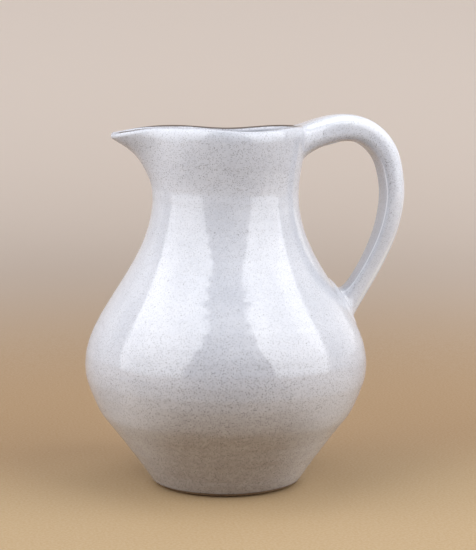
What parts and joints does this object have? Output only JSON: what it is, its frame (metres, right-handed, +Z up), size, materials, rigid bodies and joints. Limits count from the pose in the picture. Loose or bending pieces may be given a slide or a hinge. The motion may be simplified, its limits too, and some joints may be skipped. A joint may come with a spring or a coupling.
{
  "type": "pitcher",
  "caption": "Wheel-thrown ceramic pitcher with a pear-shaped belly, a pulled pouring lip and a strap handle.",
  "frame": {"origin": "centre of the flat bare base, on the axis of the wheel", "axes": "+Z up along the axis of the wheel, +X towards the handle, -X towards the spout"},
  "size_m": [0.2026, 0.1766, 0.2315],
  "materials": {
    "clay": "matt, fired bare stoneware",
    "glaze": "glossy, finely speckled grey white glaze"
  },
  "bodies": {
    "root": {"thrown_body": "clay", "strap_handle": "clay", "upper_handle_joint": "glaze", "lower_handle_joint": "glaze", "outer_glaze": "glaze", "inner_glaze": "glaze", "handle_glaze": "glaze"}
  },
  "joints": []
}
